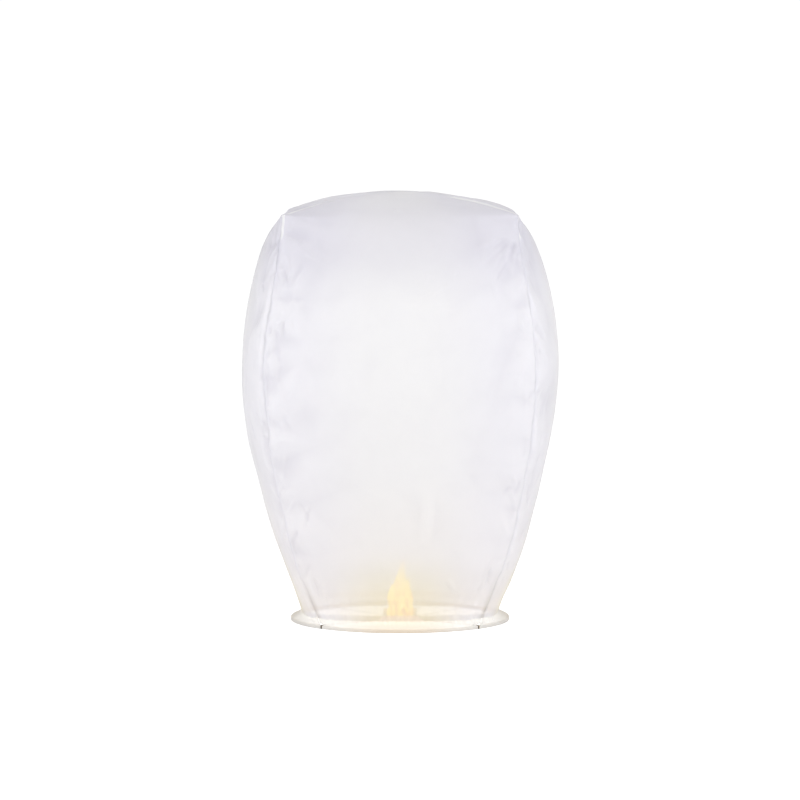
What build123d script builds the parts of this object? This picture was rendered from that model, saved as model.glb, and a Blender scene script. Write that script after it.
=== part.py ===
from build123d import *

import os
from math import atan2, cos, pi, sin, sqrt

# Sky lantern: a bag of four paper gores on a bamboo hoop, with a waxed fuel cell
# held on two crossed wires in the mouth.
# Millimetres, +Z up, front towards -Y. The origin is on the floor under the hoop's middle.

SIDES = ("front", "right", "back", "left")

# Driving dimensions of the frame
HOOP_DIAMETER = 380.0
STRIP_THICK = 3.0
STRIP_TALL = 5.0
HOOP_Z = 1.0
SCARF_LENGTH = 50.0
SCARF_SLIT = 0.15
TAPE_THICK = 0.25
TAPE_GAP = 0.05
TAPE_PAST_SCARF = 1.2

# Paper. Real tissue is 0.05 mm thick; it is modelled thicker so that it stays a solid.
PAPER = 0.6
GLUE_LINE = 0.15
LAP_ON_NEIGHBOUR = 5.5
LAP_ON_OWN_GORE = 2.0
LAP_ROOT = 0.3

# Bag walls: (height, half width at the gore's middle, half width at the seam)
WALL = (
    (18.0, 171.0, 143.0),
    (28.0, 174.0, 145.5),
    (60.5, 185.5, 156.0),
    (111.5, 206.5, 176.0),
    (182.5, 230.0, 194.5),
    (263.5, 251.0, 211.0),
    (344.5, 267.0, 222.5),
    (435.5, 275.0, 229.0),
    (527.0, 268.5, 223.5),
    (598.0, 254.5, 212.0),
    (658.5, 236.5, 203.0),
    (694.0, 218.0, 200.0),
    (710.0, 201.5, 199.5),
)

# Crown: (distance from the axis, height of the gore's middle, height of the seam)
CROWN = (
    (199.5, 711.5, 710.0),
    (193.0, 714.5, 712.2),
    (170.0, 723.0, 719.3),
    (107.0, 739.0, 734.5),
    (70.0, 744.8, 740.0),
    (40.0, 746.8, 743.5),
    (22.0, 746.2, 744.7),
    (12.0, 745.6, 745.0),
)
CROWN_HOLE = 12.5
CROWN_HOLE_TALL = 110.0
CROWN_FLOOR = 650.0
PATCH_RADIUS = 20.0
PATCH_Z = 746.5
PATCH_THICK = 0.5

# Hem strips round the hoop
HEM_CLEAR = 0.4
HEM_LIP = 3.4
HEM_HALF_ANGLE = 43.7
HEM_START = -135.0
HEM_ARC = 90.0
FLARE_STEPS = 4

# Wires and fuel
WIRE = 0.8
WIRE_GAP = 0.1
TURN_PITCH = 0.3
WIRE_BEND = 0.6
WIRE_FLAT = 50.0
LOWER_WIRE_Z = 2.2
UPPER_WIRE_Z = 3.1
PIN_HALF_WIDTH = 1.3
PIN_TOP = 23.0
PIN_FOOT_Z = 1.2
PIN_FOOT = 3.0
PIN_BEND = 1.0
FUEL_SIDE = 60.0
FUEL_CORNER = 3.0
FUEL_HOLE = 5.0
FUEL_Z = 3.8
FUEL_SHEET = 2.0
FUEL_SHEETS = 6

# Derived sizes
HOOP_OUTER = HOOP_DIAMETER / 2
HOOP_INNER = HOOP_OUTER - STRIP_THICK
HOOP_MIDDLE = HOOP_OUTER - STRIP_THICK / 2
HOOP_TOP = HOOP_Z + STRIP_TALL
BEYOND_SEAM = 6.0
CUT_BEYOND_SEAM = 9.0
CUT_BEHIND_AXIS = 5.0
ON_FLOOR = (Align.CENTER, Align.CENTER, Align.MIN)

os.makedirs("parts", exist_ok=True)


def save(part, name):
    """Label a finished piece and write it."""
    part.label = name
    export_step(part, f"parts/{name}.step")


def fall(half, rise, x):
    """How far an arc with this half chord and rise has dropped from its middle at x."""
    radius = (half**2 + rise**2) / (2 * rise)
    return radius - sqrt(radius**2 - x**2)


def corner_angle(middle, seam):
    """Angle between the gore's arc at its seam and its chord."""
    return 2 * atan2(middle - seam, seam)


def shifted(station, out):
    """A wall station moved outwards by a distance square to the paper."""
    z, middle, seam = station
    along_diagonal = out / sin(pi / 4 + corner_angle(middle, seam))
    return z, middle + out, seam + along_diagonal / sqrt(2)


def wall_section(station, beyond, back):
    """A gore's arc at one height, run on past both seams and closed behind the axis."""
    z, middle, seam = station
    x = seam + beyond
    y = fall(seam, middle - seam, x) - middle
    with BuildSketch(Plane.XY.offset(z)) as outline:
        with BuildLine():
            ThreePointArc((-x, y), (0, -middle), (x, y))
            Polyline((x, y), (x, back), (-x, back), (-x, y))
        make_face()
    return outline.sketch


def crown_section(station, beyond, floor):
    """The crown's arc over one gore in an upright plane, closed at a floor below it."""
    distance, middle_z, seam_z = station
    x = distance + beyond
    z = middle_z - fall(distance, middle_z - seam_z, x)
    with BuildSketch(Plane.XZ.offset(distance)) as outline:
        with BuildLine():
            ThreePointArc((-x, z), (0, middle_z), (x, z))
            Polyline((x, z), (x, floor), (-x, floor), (-x, z))
        make_face()
    return outline.sketch


# --- Gore: one quarter of the bag, from the neck up over the shoulder to the apex ---------

SEAM_RIGHT = Plane(origin=(0, 0, 0), x_dir=(1, -1, 0), z_dir=(-1, -1, 0))
SEAM_LEFT = Plane(origin=(0, 0, 0), x_dir=(1, 1, 0), z_dir=(1, -1, 0))


def under_paper(out, beyond, back, floor):
    """The solid under one gore's outer face moved out by a distance, run on past both seams."""
    walls = [shifted(station, out) for station in WALL[:-1]]
    walls.append(tuple(size + out for size in WALL[-1]))
    crowns = [tuple(size + out for size in CROWN[0])]
    crowns += [(distance, middle + out, seam + out) for distance, middle, seam in CROWN[1:]]
    with BuildPart() as body:
        loft(sections=[wall_section(station, beyond, back) for station in walls])
        loft(sections=[crown_section(station, beyond, floor) for station in crowns])
    return body.part


def paper_layer(outside, inside):
    """Paper between two distances from the gore's outer face, wider than the gore."""
    with BuildPart() as layer:
        add(under_paper(outside, BEYOND_SEAM, 0, CROWN_FLOOR))
        add(
            under_paper(inside, CUT_BEYOND_SEAM, CUT_BEHIND_AXIS, CROWN_FLOOR - CUT_BEHIND_AXIS),
            mode=Mode.SUBTRACT,
        )
        with Locations((0, 0, CROWN_FLOOR)):
            Box(2 * CROWN_HOLE, 2 * CROWN_HOLE, CROWN_HOLE_TALL, align=ON_FLOOR, mode=Mode.SUBTRACT)
    return layer.part


lap_top = GLUE_LINE + PAPER

with BuildPart() as neighbour_lap:
    add(paper_layer(lap_top, GLUE_LINE))
    split(bisect_by=Plane.XY.offset(WALL[1][0]), keep=Keep.TOP)
    split(bisect_by=SEAM_LEFT, keep=Keep.TOP)
    split(bisect_by=SEAM_LEFT.offset(LAP_ON_NEIGHBOUR), keep=Keep.BOTTOM)

with BuildPart() as gore:
    add(paper_layer(lap_top, -LAP_ROOT))
    split(bisect_by=Plane.XY.offset(WALL[1][0]), keep=Keep.TOP)
    split(bisect_by=SEAM_RIGHT.offset(LAP_ON_OWN_GORE), keep=Keep.BOTTOM)
    add(paper_layer(0, -PAPER))
    split(bisect_by=SEAM_RIGHT, keep=Keep.TOP)
    split(bisect_by=SEAM_LEFT, keep=Keep.TOP)
    add(neighbour_lap.part, rotation=(0, 0, 90))

for quarter, side in enumerate(SIDES):
    with BuildPart() as placed_gore:
        add(gore.part, rotation=(0, 0, 90 * quarter))
    save(placed_gore.part, f"gore_{side}")


# --- Crown patch: a round of paper over the hole where the four gore tips meet -------------

with BuildPart() as crown_patch:
    with BuildSketch(Plane.XY.offset(PATCH_Z)):
        Circle(PATCH_RADIUS)
    extrude(amount=PATCH_THICK)
save(crown_patch.part, "crown_patch")


# --- Hoop: one split bamboo strip, its tapered ends laid together at the back --------------


def polar(radius, degrees):
    """A point at this radius and bearing."""
    return radius * cos(degrees * pi / 180), radius * sin(degrees * pi / 180)


scarf_half_angle = SCARF_LENGTH / HOOP_MIDDLE * 90 / pi

with BuildPart() as bamboo_hoop:
    with BuildSketch(Plane.XY.offset(HOOP_Z)):
        Circle(HOOP_OUTER)
        Circle(HOOP_INNER, mode=Mode.SUBTRACT)
    extrude(amount=STRIP_TALL)
    with BuildSketch(Plane.XY.offset(HOOP_Z)):
        with BuildLine():
            ThreePointArc(
                polar(HOOP_OUTER + SCARF_SLIT, 90 - scarf_half_angle),
                polar(HOOP_MIDDLE, 90),
                polar(HOOP_INNER - SCARF_SLIT, 90 + scarf_half_angle),
            )
        trace(line_width=SCARF_SLIT)
    extrude(amount=STRIP_TALL, mode=Mode.SUBTRACT)
save(bamboo_hoop.part, "bamboo_hoop")


def sleeve_size(gap):
    """Width and height of the strip's section with a gap left all round it."""
    return STRIP_THICK + 2 * gap, STRIP_TALL + 2 * gap


tape_half_angle = scarf_half_angle * TAPE_PAST_SCARF
hoop_section_plane = Plane.XZ.rotated((0, 0, 90 - tape_half_angle))

with BuildPart() as scarf_tape:
    with BuildSketch(hoop_section_plane):
        with Locations((HOOP_MIDDLE, HOOP_Z + STRIP_TALL / 2)):
            Rectangle(*sleeve_size(TAPE_GAP + TAPE_THICK))
            Rectangle(*sleeve_size(TAPE_GAP), mode=Mode.SUBTRACT)
    revolve(axis=Axis.Z, revolution_arc=2 * tape_half_angle)
save(scarf_tape.part, "scarf_tape")


# --- Hem strips: paper folded round the hoop and glued over each gore's lower edge ---------

hem_outer = HOOP_OUTER + HEM_CLEAR
hem_inner = HOOP_INNER - HEM_CLEAR
hem_rim = HOOP_TOP + HEM_CLEAR


def hem_stations(out):
    """Wall stations of the hem: a hollow flare from the hoop up to the neck, then the flap."""
    _, neck, neck_seam = shifted(WALL[0], GLUE_LINE + out)
    rim = hem_outer + out
    stations = []
    for step in range(FLARE_STEPS + 1):
        drawn_in = 1 - (1 - step / FLARE_STEPS) ** 2
        stations.append(
            (
                hem_rim + (WALL[0][0] - hem_rim) * step / FLARE_STEPS,
                rim + (neck - rim) * drawn_in,
                rim / sqrt(2) + (neck_seam - rim / sqrt(2)) * drawn_in,
            )
        )
    stations.append(shifted(WALL[1], GLUE_LINE + out))
    return stations


with BuildPart() as hem:
    loft(
        sections=[wall_section(s, BEYOND_SEAM, 0) for s in hem_stations(PAPER)],
        ruled=True,
    )
    loft(
        sections=[wall_section(s, CUT_BEYOND_SEAM, CUT_BEHIND_AXIS) for s in hem_stations(0)],
        ruled=True,
        mode=Mode.SUBTRACT,
    )
    with BuildSketch(Plane.XZ.rotated((0, 0, HEM_START))):
        with BuildLine():
            Polyline(
                (hem_inner - PAPER, 0),
                (hem_outer + PAPER, 0),
                (hem_outer + PAPER, hem_rim),
                (hem_outer, hem_rim),
                (hem_outer, PAPER),
                (hem_inner, PAPER),
                (hem_inner, PAPER + HEM_LIP),
                (hem_inner - PAPER, PAPER + HEM_LIP),
                close=True,
            )
        make_face()
    revolve(axis=Axis.Z, revolution_arc=HEM_ARC)
    split(bisect_by=Plane(origin=(0, 0, 0), z_dir=(*polar(1, HEM_HALF_ANGLE - 180), 0)))
    split(bisect_by=Plane(origin=(0, 0, 0), z_dir=(*polar(1, -HEM_HALF_ANGLE), 0)))

for quarter, side in enumerate(SIDES):
    with BuildPart() as placed_hem:
        add(hem.part, rotation=(0, 0, 90 * quarter))
    save(placed_hem.part, f"hem_{side}")


# --- Cross wires: each wound twice round the hoop at both ends, in the gaps of the hem -----

wire_away = WIRE / 2 + WIRE_GAP
wire_top = HOOP_TOP + wire_away + WIRE_GAP
wire_bottom = HOOP_Z - wire_away
wire_outside = HOOP_OUTER + wire_away
wire_inside = HOOP_INNER - wire_away


def winding(bearing):
    """Route round the strip from the run's arrival on top to the wire's cut end inside."""
    corners = (
        (wire_outside, wire_top),
        (wire_outside, wire_bottom),
        (wire_inside, wire_bottom),
        (wire_inside, wire_top),
        (wire_outside, wire_top),
        (wire_outside, wire_bottom),
        (wire_inside, wire_bottom),
        (wire_inside, HOOP_TOP - WIRE),
    )
    across = polar(1, bearing)
    along = polar(1, bearing + 90)
    route = []
    for turn, (radius, z) in enumerate(corners):
        side = (turn - 4) * TURN_PITCH
        route.append(
            (radius * across[0] + side * along[0], radius * across[1] + side * along[1], z)
        )
    return route


for name, bearing, middle_z in (
    ("cross_wire_lower", 45, LOWER_WIRE_Z),
    ("cross_wire_upper", 135, UPPER_WIRE_Z),
):
    with BuildPart() as cross_wire:
        with BuildLine() as route:
            FilletPolyline(
                *reversed(winding(bearing)),
                (*polar(WIRE_FLAT, bearing), middle_z),
                (*polar(WIRE_FLAT, bearing + 180), middle_z),
                *winding(bearing + 180),
                radius=WIRE_BEND,
            )
        with BuildSketch(Plane(origin=route.line @ 0, z_dir=route.line % 0)):
            Circle(WIRE / 2)
        sweep(path=route.line)
    save(cross_wire.part, name)


# --- Fuel pin: a hairpin hooked under the lower wire, standing up through the fuel cell ----

with BuildPart() as fuel_pin:
    with BuildLine() as route:
        FilletPolyline(
            (PIN_HALF_WIDTH, PIN_FOOT, PIN_FOOT_Z),
            (PIN_HALF_WIDTH, 0, PIN_FOOT_Z),
            (PIN_HALF_WIDTH, 0, PIN_TOP),
            (-PIN_HALF_WIDTH, 0, PIN_TOP),
            (-PIN_HALF_WIDTH, 0, PIN_FOOT_Z),
            (-PIN_HALF_WIDTH, -PIN_FOOT, PIN_FOOT_Z),
            radius=PIN_BEND,
        )
    with BuildSketch(Plane(origin=route.line @ 0, z_dir=route.line % 0)):
        Circle(WIRE / 2)
    sweep(path=route.line)
save(fuel_pin.part, "fuel_pin")


# --- Fuel cell: a stack of waxed sheets with a hole for the pin ----------------------------

for sheet in range(FUEL_SHEETS):
    with BuildPart() as fuel_sheet:
        with BuildSketch(Plane.XY.offset(FUEL_Z + sheet * FUEL_SHEET)):
            RectangleRounded(FUEL_SIDE, FUEL_SIDE, FUEL_CORNER)
            Circle(FUEL_HOLE / 2, mode=Mode.SUBTRACT)
        extrude(amount=FUEL_SHEET)
    save(fuel_sheet.part, f"fuel_sheet_{sheet + 1}")
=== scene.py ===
"""Sky lantern: four tissue gores on a bamboo hoop, lit by a waxed fuel cell in the mouth.

Metres, +Z up, front towards -Y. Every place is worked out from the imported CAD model.
"""

import math

import bpy
import numpy as np
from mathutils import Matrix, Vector, noise
from mathutils.bvhtree import BVHTree
from mathutils.geometry import delaunay_2d_cdt


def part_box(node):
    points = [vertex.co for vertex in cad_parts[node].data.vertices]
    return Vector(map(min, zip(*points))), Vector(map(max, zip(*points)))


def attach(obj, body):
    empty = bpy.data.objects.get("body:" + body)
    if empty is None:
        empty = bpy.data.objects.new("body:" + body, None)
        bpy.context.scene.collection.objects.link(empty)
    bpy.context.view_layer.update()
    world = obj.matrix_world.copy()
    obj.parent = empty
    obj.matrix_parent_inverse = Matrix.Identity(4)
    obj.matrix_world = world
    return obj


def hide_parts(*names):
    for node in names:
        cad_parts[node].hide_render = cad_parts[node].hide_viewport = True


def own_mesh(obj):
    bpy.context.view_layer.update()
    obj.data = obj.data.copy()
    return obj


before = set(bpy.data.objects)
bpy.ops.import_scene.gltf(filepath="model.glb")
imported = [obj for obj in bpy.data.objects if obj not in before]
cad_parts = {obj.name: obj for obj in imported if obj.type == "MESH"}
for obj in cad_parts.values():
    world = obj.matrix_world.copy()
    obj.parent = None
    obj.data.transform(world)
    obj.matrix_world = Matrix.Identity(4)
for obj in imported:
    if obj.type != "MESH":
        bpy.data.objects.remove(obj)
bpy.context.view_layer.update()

SIDES = ("front", "right", "back", "left")
MM = 0.001

# --- The lantern's main places, read from the CAD --------------------------------------------

BAMBOO_THICK = 3.0 * MM
HOOP_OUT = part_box("bamboo_hoop")[1].x
HOOP_IN = HOOP_OUT - BAMBOO_THICK
NECK_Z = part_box("gore_front")[0].z
patch_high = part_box("crown_patch")[1]
APEX_Z = patch_high.z
PATCH_RADIUS = patch_high.x
CELL_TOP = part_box("fuel_sheet_6")[1].z

SHOULDER_Z = 709.5 * MM
SHOULDER_OUT = 198.5 * MM
TIP_OUT = 13.5 * MM
FLAP_TOP = 28.0 * MM
LAP_WIDE = 5.5 * MM
LAP_LIFT = 0.3 * MM
LAP_FROM, LAP_FULL = SHOULDER_Z - 50 * MM, SHOULDER_Z - 30 * MM


def cad_skin(node):
    """The surface of a CAD node, for lines to be tried against."""
    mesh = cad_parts[node].data
    return BVHTree.FromPolygons(
        [v.co for v in mesh.vertices], [tuple(p.vertices) for p in mesh.polygons]
    )


def touch(skin, start, toward):
    """Where a straight line from start first meets a surface."""
    return skin.ray_cast(Vector(start), Vector(toward).normalized())[0]


def smoothstep(values, low, high):
    t = np.clip((np.asarray(values, float) - low) / (high - low), 0, 1)
    return t * t * (3 - 2 * t)


def bump_at(values, middle, wide):
    return np.exp(-(((np.asarray(values, float) - middle) / wide) ** 2))


# --- Gore shape: rows up the wall and over the crown -----------------------------------------

WALL_ROWS, CROWN_ROWS = 170, 60
PROBE_ASIDE = math.radians(36)
CROWN_PROBE = 0.8
ROW_STEP = 3.6 * MM
SEAM_SOFTNESS, MIDDLE_SOFTNESS = 3 * MM, 36 * MM
CROWN_BULGE = 1.6 * MM
BULGE_FROM, BULGE_FULL = 0.715, 0.735


def gore_rows():
    """Half width, middle y, middle z and seam z of the gore, row by row from neck to tip."""
    skin = cad_skin("gore_front")
    rows = []
    for z in np.linspace(NECK_Z + 0.2 * MM, SHOULDER_Z, WALL_ROWS):
        middle = -touch(skin, (0, -1, z), (0, 1, 0)).y
        sine, cosine = math.sin(PROBE_ASIDE), math.cos(PROBE_ASIDE)
        near = touch(skin, (-sine, -cosine, z), (sine, cosine, 0))
        x, drop = abs(near.x), max(middle - abs(near.y), 1e-6)
        radius = (x * x + drop * drop) / (2 * drop)
        inner = middle - radius
        seam = (inner + math.sqrt(2 * radius**2 - inner**2)) / 2
        rows.append((seam, -middle, z, z))
    for out in np.linspace(SHOULDER_OUT, TIP_OUT, CROWN_ROWS):
        middle = touch(skin, (0, -out, 2), (0, 0, -1)).z
        x = CROWN_PROBE * out
        drop = max(middle - touch(skin, (-x, -out, 2), (0, 0, -1)).z, 1e-6)
        radius = (x * x + drop * drop) / (2 * drop)
        fall = radius - math.sqrt(radius**2 - out**2)
        rows.append((out, -out, middle, middle - fall))
    return np.array(rows)


def softened(column, along, wide):
    """A column of sizes smoothed along the paper, with its two ends kept."""
    reach = 4 * wide
    step = along[1] - along[0]
    count = int(reach / step) + 1
    before = 2 * column[0] - column[1 : count + 1][::-1]
    after = 2 * column[-1] - column[-count - 1 : -1][::-1]
    weights = np.exp(-((np.arange(-count, count + 1) * step / wide) ** 2))
    padded = np.concatenate([before, column, after])
    return np.convolve(padded, weights / weights.sum(), mode="valid")


rows = gore_rows()
paper_run = np.concatenate(
    [[0], np.cumsum(np.hypot(np.diff(rows[:, 1]), np.diff(rows[:, 2])))]
)
row_count = int(paper_run[-1] / ROW_STEP)
RUN = np.linspace(0, paper_run[-1], row_count)
even = np.array([np.interp(RUN, paper_run, rows[:, i]) for i in range(4)])
SEAM_OUT = softened(even[0], RUN, SEAM_SOFTNESS)
MIDDLE_Y = softened(even[1], RUN, MIDDLE_SOFTNESS)
MIDDLE_Z = softened(even[2], RUN, MIDDLE_SOFTNESS)
SEAM_Z = softened(even[3], RUN, SEAM_SOFTNESS)
bulge = smoothstep(MIDDLE_Z, BULGE_FROM, BULGE_FULL) * smoothstep(SEAM_OUT, 20 * MM, 55 * MM)
MIDDLE_Z = MIDDLE_Z + CROWN_BULGE * bulge
below_apex = row_count * 3 // 4
SHOULDER_RUN = float(np.interp(SHOULDER_Z, even[2][:below_apex], RUN[:below_apex]))

COLUMNS = 129
SEAM_ROUNDING = 0.45
ROUNDING_POWER = 3.6
ACROSS = np.linspace(-1, 1, COLUMNS)


def gore_base():
    """The gore's smooth surface as a grid of points, facing the front."""
    seam = SEAM_OUT[:, None]
    rise = np.maximum(np.hypot(MIDDLE_Y + SEAM_OUT, MIDDLE_Z - SEAM_Z), 1e-6)[:, None]
    radius = (seam**2 + rise**2) / (2 * rise)
    x = seam * ACROSS[None, :]
    arc = (radius - np.sqrt(radius**2 - x**2)) / rise
    share = arc + SEAM_ROUNDING * (np.abs(ACROSS[None, :]) ** ROUNDING_POWER - arc)
    y = MIDDLE_Y[:, None] + (-seam - MIDDLE_Y[:, None]) * share
    z = MIDDLE_Z[:, None] + (SEAM_Z[:, None] - MIDDLE_Z[:, None]) * share
    return np.stack([x, y, z], axis=-1)


def outward(grid):
    """Unit normals of a grid of points, away from the lantern."""
    across = np.gradient(grid, axis=1)
    along = np.gradient(grid, axis=0)
    n = np.cross(across, along)
    return n / np.maximum(np.linalg.norm(n, axis=-1, keepdims=True), 1e-12)


BASE = gore_base()
BASE_OUT = outward(BASE)
steps = np.linalg.norm(np.diff(BASE, axis=1), axis=-1)
PAPER_X = np.concatenate([np.zeros((row_count, 1)), np.cumsum(steps, axis=1)], axis=1)
PAPER_X -= PAPER_X[:, COLUMNS // 2][:, None]
PAPER_T = np.repeat(RUN[:, None], COLUMNS, axis=1)
FROM_SEAM = np.abs(PAPER_X[:, -1:]) - np.abs(PAPER_X)
LEVEL = BASE[:, :, 2]

# --- Creases in the tissue -------------------------------------------------------------------

WAIST_RUN, WAIST_REACH = 0.46, 0.20
CRUMPLE_REACH, CORNER_REACH = 55 * MM, 60 * MM
LARGE_FOLD_SPACING, LARGE_FOLD_HEIGHT, LARGE_FOLD_REACH = 58 * MM, 9.0 * MM, 130 * MM
SEAM_CREASES, CORNER_CREASES, FAINT_CREASES, FRONT_CREASES = 90, 9, 26, 16
FOLD_LIMIT, SHOULDER_FOLD_LIMIT = 7.5 * MM, 2.5 * MM
BILLOW = 2.2 * MM
SEAM_DIP = 1.1 * MM
# A crease this deep gets full painted shade in its valley and full painted highlight on its ridge.
FOLD_BLUR, FOLD_SHADE_DEPTH = 8, 2.0 * MM


def scattered(rng, tries, spacing_at, wide, tall):
    """Points spread over the flat gore, closer together where spacing_at is small."""
    kept = []
    for x, t in rng.uniform((-wide, -10 * MM), (wide, tall), (tries, 2)):
        gap = spacing_at(x, t)
        if all((x - a) ** 2 + (t - b) ** 2 > gap * gap for a, b in kept):
            kept.append((x, t))
    return kept


def side_gap(x, t):
    """Distance on the paper from a point to the nearer seam."""
    return float(np.interp(t, RUN, PAPER_X[:, -1])) - abs(x)


def facets(rng, spacing_at, height_at, tries):
    """Flat-faced crumples: random heights joined by triangles of paper."""
    wide, tall = float(PAPER_X.max()) + 10 * MM, float(RUN[-1]) + 10 * MM
    points = scattered(rng, tries, spacing_at, wide, tall)
    rim = [(x, t) for x in (-wide, wide) for t in np.linspace(-10 * MM, tall, 12)]
    points += [(x + rng.uniform(-MM, MM), t) for x, t in rim]
    heights = np.array([rng.uniform(-1, 1) * height_at(x, t) for x, t in points])
    flat, _, faces, _, _, _ = delaunay_2d_cdt([Vector(p) for p in points], [], [], 0, 1e-7)
    field = np.zeros_like(PAPER_X)
    for face in faces:
        if len(face) != 3 or max(face) >= len(heights):
            continue
        (ax, at), (bx, bt), (cx, ct) = (flat[i] for i in face)
        area = (bx - ax) * (ct - at) - (cx - ax) * (bt - at)
        first = np.searchsorted(RUN, min(at, bt, ct))
        last = np.searchsorted(RUN, max(at, bt, ct), side="right")
        if abs(area) < 1e-10 or first >= last:
            continue
        x, t = PAPER_X[first:last], PAPER_T[first:last]
        b = ((x - ax) * (ct - at) - (cx - ax) * (t - at)) / area
        c = ((bx - ax) * (t - at) - (x - ax) * (bt - at)) / area
        inside = (b >= 0) & (c >= 0) & (b + c <= 1)
        value = heights[face[0]] * (1 - b - c) + heights[face[1]] * b + heights[face[2]] * c
        field[first:last][inside] = value[inside]
    return field


def crease(field, x, t, angle, half_long, half_wide, height):
    """One ridge or valley in the paper, sharp along its middle and fading at its ends."""
    c, s = math.cos(angle), math.sin(angle)
    first, last = np.searchsorted(RUN, (t - half_long - half_wide, t + half_long + half_wide))
    dx, dt = PAPER_X[first:last] - x, PAPER_T[first:last] - t
    along = (dx * c + dt * s) / half_long
    over = np.abs(-dx * s + dt * c) / half_wide
    ends = np.clip(1 - along**2, 0, 1)
    field[first:last] += height * ends * np.clip(1 - over, 0, 1) ** 1.3


def near_seam(gap, wide):
    return math.exp(-max(gap, 0) / wide)


def waist_at(t):
    """Crumples are deepest at the bag's widest part."""
    return 0.35 + 0.65 * math.exp(-(((t - WAIST_RUN) / WAIST_REACH) ** 2))


def strength_at(side):
    """Crumples are deepest on both sides of the front left seam, where the bag was handled."""
    deep = {"front": (1.25, 0.85), "left": (0.9, 1.3)}.get(side, (0.9, 0.9))
    share = (ACROSS + 1) / 2
    return (deep[0] + (deep[1] - deep[0]) * share)[None, :]


# Long folds beside the front left seam: (gore, distance from the seam, height, lean,
# half length, half width, depth), millimetres and degrees.
HANDLED_FOLDS = (
    ("left", 34, 528, -25, 15, 7, -4.0),
    ("left", 12, 505, 0, 20, 7, -4.5),
    ("left", 26, 462, 12, 28, 7, -4.0),
    ("left", 52, 590, 60, 22, 7, -4.0),
    ("left", 58, 490, 5, 34, 8, 3.2),
    ("left", 74, 420, -8, 30, 8, -3.2),
    ("left", 44, 392, 10, 24, 7, 3.0),
    ("left", 66, 350, 15, 26, 8, -3.0),
    ("front", 24, 540, 15, 14, 6, -3.4),
    ("front", 32, 518, 0, 18, 6, -3.8),
    ("front", 26, 478, -10, 18, 6, -3.4),
    ("front", 30, 444, 8, 16, 6, -3.0),
    ("front", 14, 500, 4, 34, 6, 3.0),
    ("front", 20, 610, -20, 24, 7, -3.4),
    ("front", 40, 650, 30, 22, 7, -3.2),
)


def crumpled(side):
    """How far the paper of one gore stands out from its smooth surface."""
    rng = np.random.RandomState(31 + 7 * SIDES.index(side))
    top = SHOULDER_RUN

    def roughness(x, t):
        gap = side_gap(x, t)
        corner = math.exp(-(((t - top) / CORNER_REACH) ** 2)) * near_seam(gap, CORNER_REACH)
        return min(1.0, near_seam(gap, CRUMPLE_REACH) * waist_at(t) + 0.9 * corner)

    coarse = facets(
        rng,
        lambda x, t: (50 - 24 * roughness(x, t)) * MM,
        lambda x, t: (0.5 + 6.0 * roughness(x, t)) * MM,
        3500,
    )
    fine = facets(
        rng,
        lambda x, t: (30 - 17 * roughness(x, t)) * MM,
        lambda x, t: (0.12 + 3.0 * roughness(x, t)) * MM,
        9000,
    )
    large = facets(
        rng,
        lambda x, t: LARGE_FOLD_SPACING,
        lambda x, t: LARGE_FOLD_HEIGHT * near_seam(side_gap(x, t), LARGE_FOLD_REACH) * waist_at(t),
        900,
    )
    calm = 1 - 0.75 * smoothstep(FROM_SEAM, 110 * MM, 200 * MM)
    share = 0.45 if side == "front" else 1.0
    field = (coarse + fine + share * large * calm) * strength_at(side)
    for _ in range(SEAM_CREASES):
        hand = rng.choice((-1, 1))
        t = rng.uniform(30 * MM, top + 10 * MM)
        edge = float(np.interp(t, RUN, PAPER_X[:, -1]))
        x = hand * (edge - abs(rng.normal(0, 26 * MM)))
        angle = math.pi / 2 + hand * rng.uniform(-0.75, 0.75)
        half_long = rng.uniform(9, 30) * MM
        height = rng.choice((-1, 1, 1)) * rng.uniform(0.9, 2.8) * MM
        crease(field, x, t, angle, half_long, rng.uniform(3.5, 7) * MM, height)
    for hand in (-1, 1):
        edge = float(np.interp(top, RUN, PAPER_X[:, -1]))
        for _ in range(CORNER_CREASES):
            angle = -math.pi / 2 - hand * rng.uniform(-0.25, 1.35)
            half_long = rng.uniform(16, 46) * MM
            x = hand * edge + math.cos(angle) * half_long
            t = top + math.sin(angle) * half_long
            height = rng.uniform(1.2, 3.0) * MM
            crease(field, x, t, angle, half_long, rng.uniform(4, 8) * MM, height)
    for _ in range(FAINT_CREASES):
        t = rng.uniform(0.1, top)
        x = rng.uniform(-0.75, 0.75) * float(np.interp(t, RUN, PAPER_X[:, -1]))
        height = rng.choice((-1, 1)) * rng.uniform(0.1, 0.3) * MM
        crease(field, x, t, rng.uniform(0, math.pi), rng.uniform(12, 40) * MM, 7 * MM, height)
    for owner, from_seam, level, lean, half_long, half_wide, depth in HANDLED_FOLDS:
        if owner == side:
            hand = 1 if side == "left" else -1
            wall = row_count * 2 // 3
            t = float(np.interp(level * MM, MIDDLE_Z[:wall], RUN[:wall]))
            x = hand * (float(np.interp(t, RUN, PAPER_X[:, -1])) - from_seam * MM)
            angle = math.radians(90 + hand * lean)
            crease(field, x, t, angle, half_long * MM, half_wide * MM, depth * MM)
    if side == "front":
        for _ in range(FRONT_CREASES):
            x, t = rng.uniform((30 * MM, 0.545), (100 * MM, 0.655))
            height = rng.uniform(0.6, 1.3) * MM
            crease(field, x, t, rng.uniform(0, math.pi), rng.uniform(8, 18) * MM, 4 * MM, height)
        crease(field, 45 * MM, 0.195, 1.50, 52 * MM, 14 * MM, 2.6 * MM)
        for angle in (0.9, 2.2):
            crease(field, -4 * MM, top + 62 * MM, angle, 13 * MM, 4 * MM, 1.8 * MM)
    return field


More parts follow.
